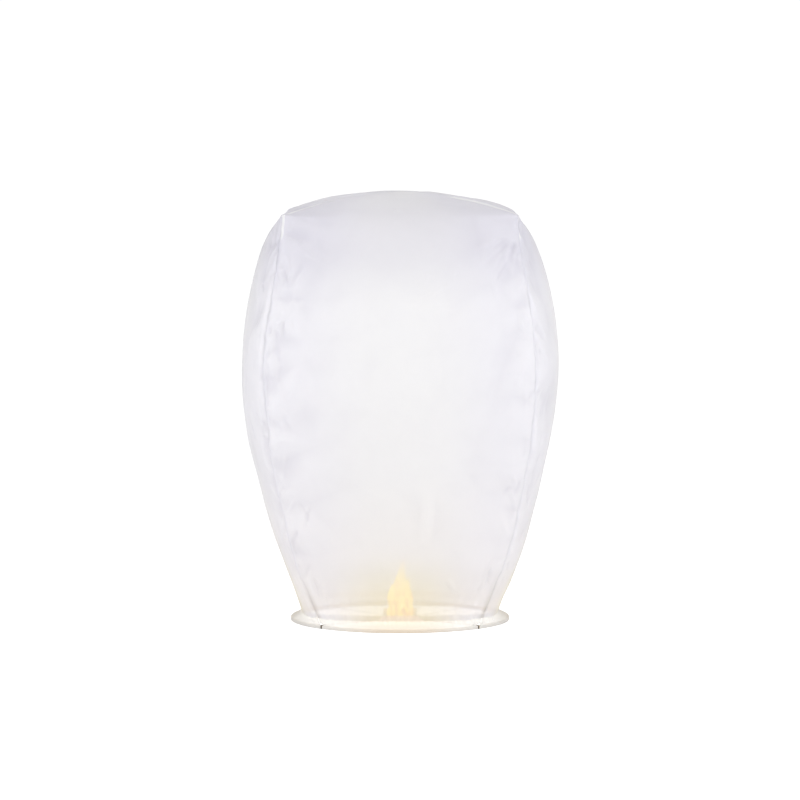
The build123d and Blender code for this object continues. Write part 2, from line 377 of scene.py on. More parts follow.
def pleat(bearing):
    """Small gathers of the paper round the neck, from -1 to 1, at each bearing."""
    turn = np.asarray(bearing, float)
    wander = 0.6 * np.sin(5 * turn + 1.1) + 0.4 * np.sin(11 * turn + 4.0)
    coarse = np.sin(46 * turn + 2.2 * wander)
    fine = np.sin(83 * turn + 3.1 * wander + 0.7)
    return 0.6 * np.abs(coarse) ** 0.8 * np.sign(coarse) + 0.4 * fine


def seam_nearness(bearing):
    """1 at the four seams and 0 at the middle of each gore."""
    return np.cos(2 * (np.asarray(bearing) - math.pi / 4)) ** 2


def neck_gather(level, bearing):
    """How far gathers at the neck stand out, on the gore and on the hem over it."""
    tied = seam_nearness(bearing) ** 6
    size = 0.55 + 1.0 * seam_nearness(bearing) ** 3
    pleats = size * MM * pleat(bearing) * np.exp(-np.maximum(level - 20 * MM, 0) / (26 * MM))
    groove = -5.0 * MM * tied**4 * bump_at(level, 17 * MM, 22 * MM)
    return pleats * smoothstep(level, 2 * MM, 12 * MM) + groove


def seam_wander(side, t):
    """How far the seam to the right of a gore stands out along its diagonal."""
    rng = np.random.RandomState(5 + SIDES.index(side))
    total = np.zeros_like(t)
    for wave, size in ((0.19, 1.1), (0.071, 0.7), (0.031, 0.55), (0.017, 0.3)):
        total += size * MM * np.sin(2 * math.pi * t / wave + rng.uniform(0, 6.28))
    rise = smoothstep(t, 30 * MM, 90 * MM) * (1 - 0.7 * smoothstep(t, SHOULDER_RUN, RUN[-1]))
    return total * rise


def turned(points, quarters):
    """Points turned about the lantern's axis by quarter turns."""
    c, s = ((1, 0), (0, 1), (-1, 0), (0, -1))[quarters % 4]
    points = np.asarray(points)
    x, y = points[..., 0], points[..., 1]
    return np.stack([c * x - s * y, s * x + c * y, points[..., 2]], axis=-1)


def blurred(field, reach):
    """A grid of values averaged over a few rows and columns each way."""
    weights = np.exp(-((np.arange(-2 * reach, 2 * reach + 1) / reach) ** 2))
    weights /= weights.sum()
    padded = np.pad(field, 2 * reach, mode="edge")
    for axis in (0, 1):
        padded = np.apply_along_axis(np.convolve, axis, padded, weights, mode="valid")
    return padded


def gore_points(quarter):
    """The creased paper of one gore, turned into its place, and how deep its fine creases are, for
    the painted fold shade and highlight.
    """
    side = SIDES[quarter]
    hem_fade = smoothstep(PAPER_T, 12 * MM, 60 * MM)
    tip_fade = 1 - smoothstep(PAPER_T, RUN[-1] - 60 * MM, RUN[-1] - 15 * MM)
    at_shoulder = smoothstep(PAPER_T, SHOULDER_RUN - 60 * MM, SHOULDER_RUN)
    limit = FOLD_LIMIT + (SHOULDER_FOLD_LIMIT - FOLD_LIMIT) * at_shoulder
    field = limit * np.tanh(crumpled(side) / limit)
    field *= smoothstep(FROM_SEAM, 0, 7 * MM) * hem_fade * tip_fade
    fold = field - blurred(field, FOLD_BLUR)
    billow = BILLOW * np.sin(PAPER_T * 13 + quarter) * np.sin(PAPER_X * 17 + 2 * quarter)
    field += billow * smoothstep(FROM_SEAM, 0, 90 * MM) * hem_fade * tip_fade
    field -= SEAM_DIP * np.exp(-FROM_SEAM / (9 * MM)) * hem_fade * tip_fade
    bearing = np.arctan2(BASE[..., 1], BASE[..., 0]) + quarter * math.pi / 2
    grid = BASE + BASE_OUT * (field + neck_gather(LEVEL, bearing))[..., None]
    diagonal = 1 / math.sqrt(2)
    for hand, owner in ((1, side), (-1, SIDES[quarter - 1])):
        sway = seam_wander(owner, RUN)[:, None] * np.exp(-FROM_SEAM / (16 * MM))
        sway = sway * (np.sign(ACROSS) == hand)[None, :]
        grid[..., 0] += sway * diagonal * hand
        grid[..., 1] -= sway * diagonal
    return turned(grid, quarter), fold


made = [gore_points(quarter) for quarter in range(4)]
GORES = [grid for grid, _ in made]
FOLDS = [fold for _, fold in made]
GORES_OUT = [outward(grid) for grid in GORES]
for quarter in range(4):
    right, left = GORES[quarter], GORES[(quarter + 1) % 4]
    joined = (right[:, -1] + left[:, 0]) / 2
    right[:, -1] = joined
    left[:, 0] = joined


def lap_points(quarter):
    """The strip of a gore that is glued over its neighbour, as extra columns."""
    neighbour = (quarter + 1) % 4
    grid, out = GORES[neighbour], GORES_OUT[neighbour]
    columns = []
    slim = 0.55 + 0.45 * smoothstep(SEAM_Z, LAP_FROM, LAP_FULL)
    for share in (0.0, 0.35, 0.7, 1.0):
        wide = LAP_WIDE * share * slim
        column = np.clip(wide / np.maximum(SEAM_OUT, 1e-6), 0, 0.9) / 2 * (COLUMNS - 1)
        low = np.floor(column).astype(int)
        part = (column - low)[:, None]
        each = np.arange(row_count)
        point = grid[each, low] * (1 - part) + grid[each, low + 1] * part
        normal = out[each, low] * (1 - part) + out[each, low + 1] * part
        lift = LAP_LIFT * (1.0 + 0.25 * np.sin(RUN * 310 + quarter) * (share == 1.0))
        columns.append(point + normal * lift[:, None])
    return np.stack(columns, axis=1)


# --- Mesh helpers ----------------------------------------------------------------------------


def new_piece(name, points, faces, material):
    mesh = bpy.data.meshes.new(name)
    mesh.from_pydata([tuple(p) for p in points], [], faces)
    mesh.materials.append(material)
    mesh.shade_smooth()
    piece = bpy.data.objects.new(name, mesh)
    bpy.context.scene.collection.objects.link(piece)
    return piece


def grid_faces(rows_count, columns_count, start=0, closed=False):
    """Four-sided faces of a grid, row after row."""
    faces = []
    last = columns_count if closed else columns_count - 1
    for j in range(rows_count - 1):
        for i in range(last):
            k = (i + 1) % columns_count
            a, b = start + j * columns_count + i, start + j * columns_count + k
            faces.append((a, b, b + columns_count, a + columns_count))
    return faces


# --- Material helpers ------------------------------------------------------------------------

NUMBER, VECTOR = "NodeSocketFloat", "NodeSocketVector"


def place(tree, kind, **settings):
    """A node with its plain values set; an input's name is written with _ for a space."""
    node = tree.nodes.new(kind)
    for name, value in settings.items():
        if hasattr(node, name):
            setattr(node, name, value)
        else:
            node.inputs[name.replace("_", " ")].default_value = value
    return node


def join(tree, socket, value):
    """Feeds a socket from another node's output, or types a plain value into it."""
    if isinstance(value, bpy.types.NodeSocket):
        tree.links.new(value, socket)
    else:
        socket.default_value = value


def axes(tree, vector):
    """A vector's X, Y and Z."""
    node = tree.nodes.new("ShaderNodeSeparateXYZ")
    tree.links.new(vector, node.inputs[0])
    return [node.outputs[axis] for axis in "XYZ"]


def reckon(tree, operation, *values):
    """The result of one sum on sockets or plain numbers."""
    node = place(tree, "ShaderNodeMath", operation=operation)
    for socket, value in zip(node.inputs, values):
        join(tree, socket, value)
    return node.outputs[0]


def fade(tree, value, start, end, low=0.0, high=1.0, shape="SMOOTHSTEP"):
    """A value carried from start..end to low..high, and held at low or high outside it."""
    node = place(tree, "ShaderNodeMapRange", interpolation_type=shape)
    names = ("Value", "From Min", "From Max", "To Min", "To Max")
    for name, number in zip(names, (value, start, end, low, high)):
        join(tree, node.inputs[name], number)
    return node.outputs[0]


def mixed(tree, share, under, over, blend="MIX"):
    """Two colours put together by a share; the second may be a plain colour."""
    node = place(tree, "ShaderNodeMix", data_type="RGBA", blend_type=blend)
    join(tree, node.inputs[0], share)
    join(tree, node.inputs[6], under)
    join(tree, node.inputs[7], (*over, 1) if isinstance(over, tuple) else over)
    return node.outputs[2]


def ramp(tree, value, stops):
    """A colour picked by a value from a few stops."""
    node = tree.nodes.new("ShaderNodeValToRGB")
    elements = node.color_ramp.elements
    while len(elements) < len(stops):
        elements.new(0.5)
    for element, (at, colour) in zip(elements, stops):
        element.position = at
        element.color = (*colour, 1)
    tree.links.new(value, node.inputs["Fac"])
    return node.outputs["Color"]


def clouds(tree, vector, scale, **settings):
    """A noise texture on a vector, with its scale linked or typed in."""
    node = place(tree, "ShaderNodeTexNoise", **settings)
    join(tree, node.inputs["Vector"], vector)
    join(tree, node.inputs["Scale"], scale)
    return node


def relief(tree, height, strength, distance, over=None):
    """A surface normal from a height, on top of another normal if one is given."""
    node = place(tree, "ShaderNodeBump", Strength=strength, Distance=distance)
    join(tree, node.inputs["Height"], height)
    if over is not None:
        join(tree, node.inputs["Normal"], over)
    return node.outputs["Normal"]


def attribute(tree, name):
    """A number kept on the piece's own points."""
    return place(tree, "ShaderNodeAttribute", attribute_name=name).outputs["Fac"]


def blank_material(name):
    material = bpy.data.materials.new(name)
    material.use_nodes = True
    material.node_tree.nodes.clear()
    return material, material.node_tree


def object_place(tree):
    """The place on the piece, in the lantern's own metres."""
    return tree.nodes.new("ShaderNodeTexCoord").outputs["Object"]


def principled(tree, colour, roughness, normal, **plain):
    """The main shader with its varying colour, roughness and normal, and its plain values."""
    face = place(tree, "ShaderNodeBsdfPrincipled", **plain)
    join(tree, face.inputs["Base Color"], colour)
    join(tree, face.inputs["Roughness"], roughness)
    join(tree, face.inputs["Normal"], normal)
    return face


def show(tree, shader):
    """Puts a shader on the surface."""
    output = tree.nodes.new("ShaderNodeOutputMaterial")
    tree.links.new(shader.outputs[0], output.inputs["Surface"])


def new_group(name, inputs, outputs):
    """An empty node group with number or vector sockets."""
    group = bpy.data.node_groups.new(name, "ShaderNodeTree")
    for way, sockets in (("INPUT", inputs), ("OUTPUT", outputs)):
        for label, kind, value in sockets:
            made = group.interface.new_socket(name=label, in_out=way, socket_type=kind)
            if value is not None:
                made.default_value = value
    return group, group.nodes.new("NodeGroupInput"), group.nodes.new("NodeGroupOutput")


def use_group(tree, group, where, **inputs):
    """A group placed in a material, on the object's own places."""
    node = tree.nodes.new("ShaderNodeGroup")
    node.node_tree = group
    tree.links.new(where, node.inputs["Vector"])
    for name, value in inputs.items():
        node.inputs[name.replace("_", " ")].default_value = value
    return node


# --- Effects that more than one paper uses ---------------------------------------------------


def build_fibres():
    """Long paper fibres lying every way: a cloud for colour and a height for relief."""
    group, given, out = new_group(
        "paper fibres",
        [("Vector", VECTOR, None), ("Fineness", NUMBER, 400.0), ("Clumping", NUMBER, 0.5)],
        [("Cloud", NUMBER, None), ("Relief", NUMBER, None)],
    )
    strands = []
    for angle in (0.35, 1.4, 2.5):
        turn = place(
            group, "ShaderNodeMapping", Rotation=(0.4 * angle, 0.3, angle), Scale=(1.0, 0.14, 1.0)
        )
        join(group, turn.inputs["Vector"], given.outputs["Vector"])
        fineness = given.outputs["Fineness"]
        strand = clouds(group, turn.outputs["Vector"], fineness, Detail=3.0, Roughness=0.6)
        strands.append(strand.outputs["Fac"])
    deepest = reckon(group, "MAXIMUM", reckon(group, "MAXIMUM", *strands[:2]), strands[2])
    clump = clouds(group, given.outputs["Vector"], 38.0, Detail=4.0, Roughness=0.55)
    blend = place(group, "ShaderNodeMix", data_type="FLOAT")
    join(group, blend.inputs[0], given.outputs["Clumping"])
    join(group, blend.inputs[2], deepest)
    join(group, blend.inputs[3], clump.outputs["Fac"])
    join(group, out.inputs["Cloud"], blend.outputs[0])
    join(group, out.inputs["Relief"], deepest)
    return group


def build_crinkle():
    """Fine dry crinkles of handled paper: ridges between flat cells."""
    group, given, out = new_group(
        "handled crinkles",
        [("Vector", VECTOR, None), ("Size", NUMBER, 90.0)],
        [("Height", NUMBER, None)],
    )
    vector = given.outputs["Vector"]
    bend = clouds(group, vector, 60.0, Detail=2.0)
    stray = place(group, "ShaderNodeVectorMath", operation="SCALE", Scale=0.006)
    join(group, stray.inputs[0], bend.outputs["Color"])
    moved = place(group, "ShaderNodeVectorMath", operation="ADD")
    join(group, moved.inputs[0], vector)
    join(group, moved.inputs[1], stray.outputs[0])
    cells = place(group, "ShaderNodeTexVoronoi", feature="DISTANCE_TO_EDGE")
    join(group, cells.inputs["Vector"], moved.outputs[0])
    join(group, cells.inputs["Scale"], given.outputs["Size"])
    join(group, out.inputs["Height"], reckon(group, "POWER", cells.outputs["Distance"], 0.5))
    return group


def build_painted_glow():
    """1 low in the middle of each gore, the mask for painted flame glow where the flame lights the
    paper.

    Side Shift above 0 leaves out the left and right gores.
    """
    group, given, out = new_group(
        "flame warmth",
        [
            ("Vector", VECTOR, None),
            ("Reach", NUMBER, 0.15),
            ("None Above", NUMBER, 0.17),
            ("Full Below", NUMBER, 0.02),
            ("Side Shift", NUMBER, 0.0),
        ],
        [("Mask", NUMBER, None)],
    )
    x, y, z = axes(group, given.outputs["Vector"])
    far = reckon(group, "ADD", reckon(group, "ABSOLUTE", y), given.outputs["Side Shift"])
    off_middle = reckon(group, "MINIMUM", reckon(group, "ABSOLUTE", x), far)
    aside = fade(group, off_middle, given.outputs["Reach"], 0.0, shape="SMOOTHERSTEP")
    above, below = given.outputs["None Above"], given.outputs["Full Below"]
    low = fade(group, z, above, below, shape="SMOOTHERSTEP")
    join(group, out.inputs["Mask"], reckon(group, "MULTIPLY", aside, low))
    return group


FIBRES = build_fibres()
CRINKLE = build_crinkle()
PAINTED_GLOW = build_painted_glow()


# Painted flame glow: a mask for the yellower colour painted where the flame lights the paper.
def painted_glow_mask(tree, where, reach, none_above, full_below, side_shift=0.0):
    node = use_group(
        tree, PAINTED_GLOW, where,
        Reach=reach, None_Above=none_above, Full_Below=full_below, Side_Shift=side_shift,
    )
    return node.outputs["Mask"]


# --- The bag's tones, painted shade and painted glow -----------------------------------------

# Painted shade where the seams bunch under the wire ties.
TIE_SHADE = (0.62, 0.60, 0.57)
# Laps painted lighter: partly the doubled paper, partly painted light over the shade in the gap
# under the lap.
LAP_TONE_AND_LIGHT = (0.97, 0.968, 0.965)
# Painted flame glow low in the middle of each gore.
LOW_GLOW_TINT = (0.965, 0.95, 0.945)
# Painted fold shade: darker in crease valleys, with painted highlight on the ridges.
FOLD_SHADE_TONES = [(0.0, (0.87, 0.865, 0.89)), (0.5, (0.975, 0.974, 0.978)), (1.0, (1, 1, 1))]
# Painted shade on the upper bag.
TOP_SHADE_FROM, TOP_SHADE_FULL = 0.545, 0.665
CROWN_TOP_SHADE = 0.45
TIE_FROM, TIE_FULL = 0.11, 0.015
# How much less of the paper is seen where the flame shines through it.
LIT_THINNING = 0.18


def quarter_share(tree, where):
    """0 in the middle of each gore, rising to 1 at its seams."""
    x, y, _ = axes(tree, where)
    sizes = [reckon(tree, "ABSOLUTE", axis) for axis in (x, y)]
    small, large = reckon(tree, "MINIMUM", *sizes), reckon(tree, "MAXIMUM", *sizes)
    return reckon(tree, "DIVIDE", small, large)


def seam_shade_mask(tree, where):
    """1 along the seams and 0 in each gore's middle: where painted shade makes the tissue darker
    and bluer.
    """
    return fade(tree, quarter_share(tree, where), 0.12, 0.75)


def tie_shade_mask(tree, where):
    """1 where the seams are bunched under the wire ties, fading out up the wall, for painted shade
    in the bunched paper.
    """
    low = fade(tree, axes(tree, where)[2], TIE_FROM, TIE_FULL)
    return reckon(tree, "MULTIPLY", low, fade(tree, quarter_share(tree, where), 0.90, 0.995))


def shoulder_mask(tree, where):
    """0 on the wall, rising to 1 at the shoulder, where the laps are painted lighter: partly the
    doubled paper's whiter look and partly painted light lifting the shade in the gap under each
    lap.
    """
    return fade(tree, axes(tree, where)[2], LAP_FROM, LAP_FULL)


def top_shade_mask(tree, where):
    """0 up to the bag's widest part, 1 under the shoulder, and less on the crown: the mask for
    painted shade on the upper bag.
    """
    z = axes(tree, where)[2]
    crown = fade(tree, z, SHOULDER_Z, APEX_Z, 1.0, CROWN_TOP_SHADE)
    return reckon(tree, "MULTIPLY", fade(tree, z, TOP_SHADE_FROM, TOP_SHADE_FULL), crown)


def bag_tones_and_painted_light(tree, where, colour, seam_shade, top_shade):
    """The tissue's colour with painted shade along the seams, at the ties, on the upper bag and in
    fold valleys, painted highlight on fold ridges, painted flame glow low down, and laps painted
    lighter, partly for the doubled paper and partly as painted light.
    """
    for mask, shade in (
        (seam_shade_mask(tree, where), seam_shade),
        (tie_shade_mask(tree, where), TIE_SHADE),
        (top_shade_mask(tree, where), top_shade),
        (painted_glow_mask(tree, where, 0.19, 0.30, 0.11), LOW_GLOW_TINT),
    ):
        colour = mixed(tree, mask, colour, shade, "MULTIPLY")
    lapped = reckon(tree, "MULTIPLY", attribute(tree, "doubled"), shoulder_mask(tree, where))
    colour = mixed(tree, lapped, colour, LAP_TONE_AND_LIGHT)
    return mixed(tree, 1.0, colour, ramp(tree, attribute(tree, "fold_shade"), FOLD_SHADE_TONES), "MULTIPLY")


def paper(
    name, pale, deep, behind, clear, through, roughness, fineness, crinkle,
    glow_tint=None, seam_shade=None, top_shade=None,
):
    """Thin paper: fibres in its colour and relief, light that comes through it, and, when asked,
    painted flame glow and the bag's painted shade and highlight in its colour.
    """
    material, tree = blank_material(name)
    where = object_place(tree)
    fibres = use_group(tree, FIBRES, where, Fineness=fineness, Clumping=0.45)
    cloud = fibres.outputs["Cloud"]
    colour = ramp(tree, cloud, [(0.40, deep), (0.62, pale)])
    is_bag = top_shade is not None
    if is_bag:
        # Painted shade, highlight and flame glow in the bag's colour.
        colour = bag_tones_and_painted_light(tree, where, colour, seam_shade, top_shade)
    alpha = clear
    if glow_tint is not None:
        # Painted flame glow: a yellower tint low on the paper near the flame.
        glow_share = painted_glow_mask(tree, where, 0.15, 0.17, 0.02, 0.0 if is_bag else 1.0)
        colour = mixed(tree, glow_share, colour, glow_tint, "MULTIPLY")
        lit = painted_glow_mask(tree, where, 2.0, 0.15, 0.07)
        alpha = fade(tree, lit, 0.0, 1.0, clear, clear - LIT_THINNING, "LINEAR")
    crinkles = use_group(tree, CRINKLE, where, Size=crinkle)
    folds = relief(tree, crinkles.outputs["Height"], 0.35, 0.25 * MM)
    normal = relief(tree, fibres.outputs["Relief"], 0.25, 0.06 * MM, folds)
    matt = fade(tree, cloud, 0.0, 1.0, roughness + 0.08, roughness - 0.06, "LINEAR")
    face = principled(tree, colour, matt, normal, Specular_IOR_Level=0.25)
    join(tree, face.inputs["Alpha"], alpha)
    glow = place(tree, "ShaderNodeBsdfTranslucent", Color=(*behind, 1))
    join(tree, glow.inputs["Normal"], normal)
    mix = place(tree, "ShaderNodeMixShader", Fac=through)
    join(tree, mix.inputs[1], face.outputs[0])
    join(tree, mix.inputs[2], glow.outputs[0])
    show(tree, mix)
    return material


# The bag's tissue, with painted flame glow, painted seam shade and painted shade on its upper
# part.
tissue = paper(
    "white tissue",
    pale=(0.93, 0.925, 0.94),
    deep=(0.908, 0.902, 0.922),
    behind=(0.96, 0.95, 0.94),
    clear=0.91,
    through=0.36,
    roughness=0.66,
    fineness=420.0,
    crinkle=95.0,
    glow_tint=(0.935, 0.90, 0.66),
    seam_shade=(0.945, 0.94, 0.99),
    top_shade=(0.835, 0.828, 0.87),
)
# The hem's tissue, with painted flame glow on the front and back hems.
hem_tissue = paper(
    "hem tissue",
    pale=(0.885, 0.872, 0.855),
    deep=(0.855, 0.84, 0.82),
    behind=(0.98, 0.96, 0.92),
    clear=1.0,
    through=0.12,
    roughness=0.62,
    fineness=360.0,
    crinkle=120.0,
    glow_tint=(1.0, 0.90, 0.78),
)
kraft_tape = paper(
    "paper tape",
    pale=(0.80, 0.74, 0.62),
    deep=(0.68, 0.61, 0.48),
    behind=(0.70, 0.62, 0.48),
    clear=1.0,
    through=0.10,
    roughness=0.58,
    fineness=300.0,
    crinkle=150.0,
)

# --- Gore pieces -----------------------------------------------------------------------------


def keep_number(piece, name, values):
    """A number kept on each of the piece's points, for its material."""
    kept = piece.data.attributes.new(name, "FLOAT", "POINT")
    kept.data.foreach_set("value", np.asarray(values, np.float32))


for quarter, side in enumerate(SIDES):
    body_grid, lap_grid = GORES[quarter], lap_points(quarter)
    lap_start = int(np.searchsorted(LEVEL[:, -1], FLAP_TOP))
    lap_grid = lap_grid[lap_start:]
    points = np.concatenate([body_grid.reshape(-1, 3), lap_grid.reshape(-1, 3)])
    faces = grid_faces(row_count, COLUMNS)
    lap_rows, lap_columns = lap_grid.shape[:2]
    first = row_count * COLUMNS
    faces += grid_faces(lap_rows, lap_columns, first)
    for j in range(lap_rows - 1):
        a = (lap_start + j) * COLUMNS + COLUMNS - 1
        b = first + j * lap_columns
        faces.append((a, b, b + lap_columns, a + COLUMNS))
    piece = new_piece(f"{side}_gore", points, faces, tissue)
    keep_number(piece, "doubled", np.arange(len(points)) >= first)
    # Painted fold shade: darker in the valleys of the creases, lighter on their ridges.
    depth = np.full(len(points), 0.5, np.float32)
    depth[:first] += np.clip(FOLDS[quarter].ravel() / FOLD_SHADE_DEPTH, -1, 1) * 0.5
    keep_number(piece, "fold_shade", depth)
    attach(piece, "frame")
    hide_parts(f"gore_{side}")
    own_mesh(piece)

# --- Crown patch -----------------------------------------------------------------------------

RINGS, SPOKES = 12, 72
turns = np.linspace(0, 2 * math.pi, SPOKES, endpoint=False)
cut = 1 + 0.02 * np.sin(3 * turns + 0.4) + 0.012 * np.sin(7 * turns + 2.0)
patch_points = [(0.0, 0.0, APEX_Z)]
for ring in range(1, RINGS + 1):
    share = ring / RINGS
    for turn, trim in zip(turns, cut):
        reach = PATCH_RADIUS * share * trim
        ripple = 0.25 * MM * share * math.sin(5 * turn + 9 * share)
        sag = -0.5 * MM * share**2
        seam_dip = -0.7 * MM * share**2 * math.cos(2 * turn - math.pi / 2) ** 8
        z = APEX_Z + 0.1 * MM + ripple + sag + seam_dip
        patch_points.append((reach * math.cos(turn), reach * math.sin(turn), z))
patch_faces = [(0, 1 + i, 1 + (i + 1) % SPOKES) for i in range(SPOKES)]
patch_faces += grid_faces(RINGS, SPOKES, 1, closed=True)
patch = new_piece("crown_round", patch_points, patch_faces, tissue)
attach(patch, "crown")
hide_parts("crown_patch")
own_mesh(patch)

# --- Hem strips ------------------------------------------------------------------------------

HEM_HALF = math.radians(43.7)
WRAP_TURN = math.radians(44.45)
SEAM_TURN = math.radians(44.97)
FLARE_LEVELS = (28.0, 26.0, 24.0, 22.0, 20.0, 18.4, 17.0, 15.5, 14.0, 12.5, 11.0, 9.5, 8.2, 7.2)
PAPER_OFF = 0.8 * MM
HEM_COLUMNS = 221
hem_skin = cad_skin("hem_front")
outside, inside = HOOP_OUT + PAPER_OFF, HOOP_IN - PAPER_OFF
wrap = (
    (outside, 5.6 * MM),
    (outside + 0.1 * MM, 3.5 * MM),
    (outside, 1.2 * MM),
    (outside - 0.4 * MM, 0.35 * MM),
    (outside - 1.2 * MM, 0.1 * MM),
    (inside + 1.2 * MM, 0.1 * MM),
    (inside + 0.3 * MM, 0.4 * MM),
    (inside, 1.4 * MM),
    (inside, 4.0 * MM),
)
local = np.linspace(-HEM_HALF, HEM_HALF, HEM_COLUMNS)
flare = np.zeros((len(FLARE_LEVELS), HEM_COLUMNS))
for j, level in enumerate(FLARE_LEVELS):
    for i, turn in enumerate(local):
        aim = (-math.sin(turn), math.cos(turn), 0)
        start = (math.sin(turn), -math.cos(turn), level * MM - 0.05 * MM)
        hit = touch(hem_skin, start, aim)
        flare[j, i] = math.hypot(hit.x, hit.y)


def ring_points(radius, bearing, z):
    return np.stack([radius * np.cos(bearing), radius * np.sin(bearing), z], axis=-1)


for quarter, side in enumerate(SIDES):
    facing = quarter * math.pi / 2 - math.pi / 2
    ends = np.exp(-(HEM_HALF - np.abs(local)) / math.radians(6))
    rows_out = []
    for j, level in enumerate(FLARE_LEVELS):
        z = level * MM
        low = smoothstep(z, 6 * MM, 16 * MM)
        spread = 1 + (SEAM_TURN / HEM_HALF - 1) * smoothstep(z, 7 * MM, 11 * MM)
        bearing = facing + local * spread
        gather = neck_gather(z, bearing)
        streak = (0.6 + 2.2 * ends) * MM * pleat(1.37 * bearing + 0.8)
        streak = streak * bump_at(z, 13 * MM, 7 * MM)
        radius = flare[j] + 0.15 * MM + gather + streak * low
        down = -1.0 * MM * ends * low
        rows_out.append(ring_points(radius, bearing, z + down))
    bearing = facing + local * (WRAP_TURN / HEM_HALF)
    for radius, z in wrap:
        ripple = 0.12 * MM * pleat(bearing * 0.83 + 2) * (1 if radius > HOOP_OUT else -1)
        rows_out.append(ring_points(radius + ripple, bearing, np.full(HEM_COLUMNS, z)))
    hem_grid = np.array(rows_out)[::-1]
    piece = new_piece(
        f"{side}_hem",
        hem_grid.reshape(-1, 3),
        grid_faces(len(hem_grid), HEM_COLUMNS),
        hem_tissue,
    )
    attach(piece, "frame")
    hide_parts(f"hem_{side}")

# --- Hoop, wires and tape: the CAD shapes with their own finishes ----------------------------


def bamboo_finish():
    """Split bamboo: long fibres round the hoop, darker joints and small stains."""
    material, tree = blank_material("split bamboo")
    where = object_place(tree)
    x, y, z = axes(tree, where)
    turn = reckon(tree, "ARCTAN2", y, x)
    level = place(tree, "ShaderNodeVectorMath", operation="MULTIPLY")
    join(tree, level.inputs[0], where)
    level.inputs[1].default_value = (1, 1, 0)
    flat = place(tree, "ShaderNodeVectorMath", operation="LENGTH")
    join(tree, flat.inputs[0], level.outputs[0])
    strip = tree.nodes.new("ShaderNodeCombineXYZ")
    join(tree, strip.inputs["X"], reckon(tree, "MULTIPLY", turn, 0.006))
    join(tree, strip.inputs["Y"], flat.outputs["Value"])
    join(tree, strip.inputs["Z"], z)
    grain = clouds(tree, strip.outputs[0], 2600.0, Detail=4.0, Roughness=0.65).outputs["Fac"]
    tones = [(0.32, (0.33, 0.22, 0.11)), (0.5, (0.62, 0.46, 0.25)), (0.72, (0.78, 0.62, 0.38))]
    knots = reckon(tree, "SINE", reckon(tree, "MULTIPLY_ADD", turn, 5.0, 0.8))
    joint = fade(tree, knots, 0.990, 0.999)
    colour = mixed(tree, joint, ramp(tree, grain, tones), (0.36, 0.24, 0.12))
    fine = relief(tree, grain, 0.6, 0.15 * MM)
    swell = relief(tree, joint, 0.8, 0.4 * MM, fine)
    rough = fade(tree, grain, 0.0, 1.0, 0.62, 0.42, "LINEAR")
    show(tree, principled(tree, colour, rough, swell))
    return material


def wire_finish():
    """Annealed iron wire: a dull grey-brown skin with lighter rubbed places."""
    material, tree = blank_material("annealed iron wire")
    skin = clouds(tree, object_place(tree), 700.0, Detail=5.0, Roughness=0.7).outputs["Fac"]
    tones = [(0.35, (0.05, 0.042, 0.038)), (0.55, (0.16, 0.15, 0.145)), (0.75, (0.30, 0.28, 0.26))]
    rough = fade(tree, skin, 0.0, 1.0, 0.65, 0.32, "LINEAR")
    pits = relief(tree, skin, 0.3, 0.05 * MM)
    show(tree, principled(tree, ramp(tree, skin, tones), rough, pits, Metallic=0.9))
    return material


def finish_node(node, material):
    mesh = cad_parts[node].data
    mesh.materials.clear()
    mesh.materials.append(material)


finish_node("bamboo_hoop", bamboo_finish())
finish_node("scarf_tape", kraft_tape)
iron = wire_finish()
for node in ("cross_wire_lower", "cross_wire_upper", "fuel_pin"):
    finish_node(node, iron)

# --- Fuel cell: waxed sheets on the pin, each cut by hand ------------------------------------

SCORCH_FROM, SCORCH_FULL = CELL_TOP - 2.5 * MM, CELL_TOP + 0.3 * MM


def waxed_finish():
    """Paper soaked in wax: amber fibres, milky wax on the cut edges, scorched near the flame."""
    material, tree = blank_material("waxed fuel paper")
    where = object_place(tree)
    fibres = use_group(tree, FIBRES, where, Fineness=260.0, Clumping=0.6)
    cloud, strands = fibres.outputs["Cloud"], fibres.outputs["Relief"]
    tone = ramp(tree, cloud, [(0.35, (0.70, 0.52, 0.26)), (0.65, (0.90, 0.77, 0.50))])
    scorch = fade(tree, axes(tree, where)[2], SCORCH_FROM, SCORCH_FULL)
    burnt = mixed(tree, reckon(tree, "MULTIPLY", scorch, strands), tone, (0.16, 0.09, 0.04))
    wet = fade(tree, cloud, 0.0, 1.0, 0.5, 0.25, "LINEAR")
    face = principled(
        tree, burnt, wet, relief(tree, strands, 0.5, 0.3 * MM),
        Coat_Weight=0.35, Coat_Roughness=0.3, Subsurface_Weight=0.2, Subsurface_Scale=0.002,
    )
    show(tree, face)
    return material


waxed = waxed_finish()
HOLE = 2.6 * MM
CORNER = 4.0 * MM
SHEETS = 6
SHEET_SPOKES, SHEET_RINGS = 96, 10
RAGGED = 0.35 * MM
EDGE_ROUNDING = 0.3 * MM
FACE_INSET = 0.15 * MM
WAVE = 0.16 * MM


def square_reach(turn, half, corner):
    """Distance from the middle to a round-cornered square's edge at a bearing."""
    c, s = abs(math.cos(turn)), abs(math.sin(turn))
    flat = half / max(c, s)
    x, y = flat * c, flat * s
    core = half - corner
    if x <= core or y <= core:
        return flat
    b = core * (c + s)
    return b + math.sqrt(max(b * b - 2 * core * core + corner * corner, 0))


